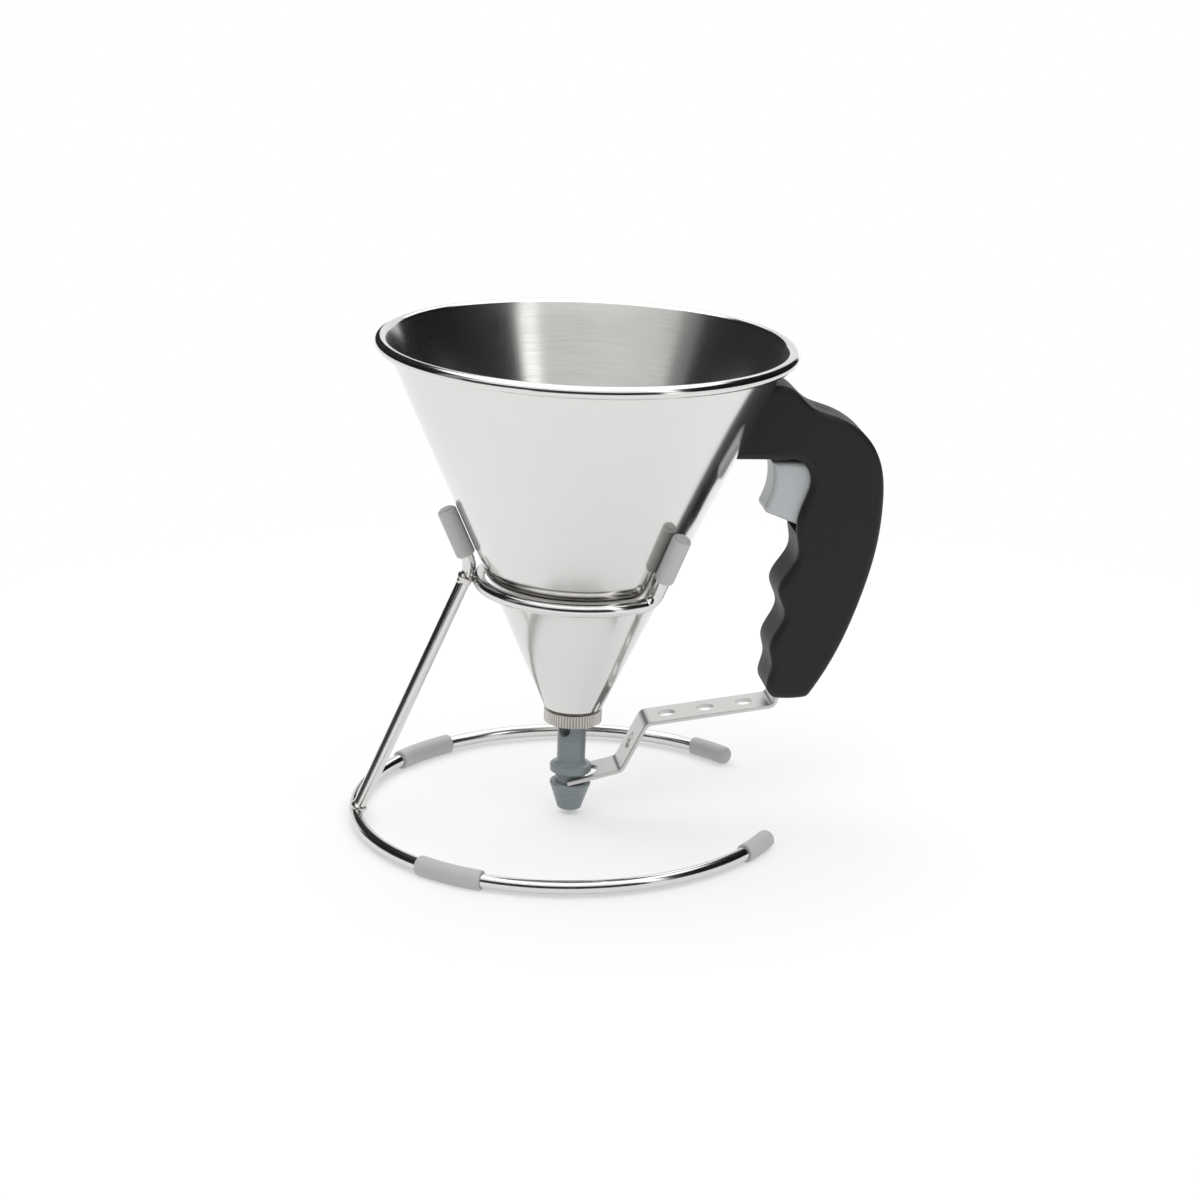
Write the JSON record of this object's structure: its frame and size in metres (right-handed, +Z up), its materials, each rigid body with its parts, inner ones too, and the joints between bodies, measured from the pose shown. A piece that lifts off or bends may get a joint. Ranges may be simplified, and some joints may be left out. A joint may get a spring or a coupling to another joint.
{
  "type": "piston funnel",
  "caption": "Hand-held steel cone funnel with a trigger handle whose sprung lever lifts a hollow piston to let liquid out, seated in a bent-wire stand with rubber caps.",
  "frame": {"origin": "on the table under the middle of the whole object's box, where the stand's rubber feet rest", "axes": "+Z up, +X toward the handle, +Y to the rear side as the picture sees it"},
  "size_m": [0.1939, 0.1622, 0.181],
  "materials": {
    "cone_steel": "mirror-polished outside, satin turned inside",
    "wire_steel": "bright polished wire",
    "lever_steel": "brushed along the strip",
    "fitting_steel": "satin turned",
    "pin_steel": "plain bright",
    "cap_rubber": "matte moulded grey",
    "seal_rubber": "matte",
    "handle_plastic": "fine matte black",
    "trigger_plastic": "satin light blue-grey",
    "piston_plastic": "satin blue-grey"
  },
  "bodies": {
    "stand": {"base_ring": "wire_steel", "leg": "wire_steel", "support_ring": "wire_steel", "weld_beads": "wire_steel", "prong_cap_leg": "cap_rubber", "prong_cap_front": "cap_rubber", "prong_cap_rear": "cap_rubber", "foot_sleeve_front": "cap_rubber", "foot_sleeve_rear": "cap_rubber", "base_end_cap_front": "cap_rubber", "base_end_cap_rear": "cap_rubber"},
    "funnel": {"funnel_cone": "cone_steel", "outlet_ferrule": "fitting_steel", "piston_seal": "seal_rubber", "handle_bracket": "lever_steel", "handle_shell_near": "handle_plastic", "handle_shell_far": "handle_plastic", "handle_screws": "pin_steel", "lever_pin": "pin_steel", "return_spring": "pin_steel"},
    "ring": {"knurled_ring": "fitting_steel"},
    "lever": {"lever_arm": "lever_steel", "trigger": "trigger_plastic", "trigger_rivets": "pin_steel"},
    "piston": {"piston": "piston_plastic"}
  },
  "joints": [
    {"name": "funnel_lift", "type": "slide", "parent": "stand", "child": "funnel", "axis": [0, 0, 1], "range_m": [0, 0.13]},
    {"name": "ring_turn", "type": "hinge", "parent": "funnel", "child": "ring", "pos_m": [-0.01398, 0, 0.03863], "axis": [0.0349, 0, 0.9994], "continuous": true},
    {"name": "lever_squeeze", "type": "hinge", "parent": "funnel", "child": "lever", "pos_m": [0.06495, 0, 0.04855], "axis": [0, 1, 0], "range_deg": [0, 6.5], "stiffness_Nm_per_rad": 3, "springref_deg": -5.73, "deforming": ["return_spring"]},
    {"name": "piston_lift", "type": "slide", "parent": "funnel", "child": "piston", "axis": [0.0349, 0, 0.9994], "range_m": [0, 0.0095]}
  ],
  "couplings": [
    {"joint": "piston_lift", "follows": "lever_squeeze", "m_per_rad": 0.083}
  ]
}
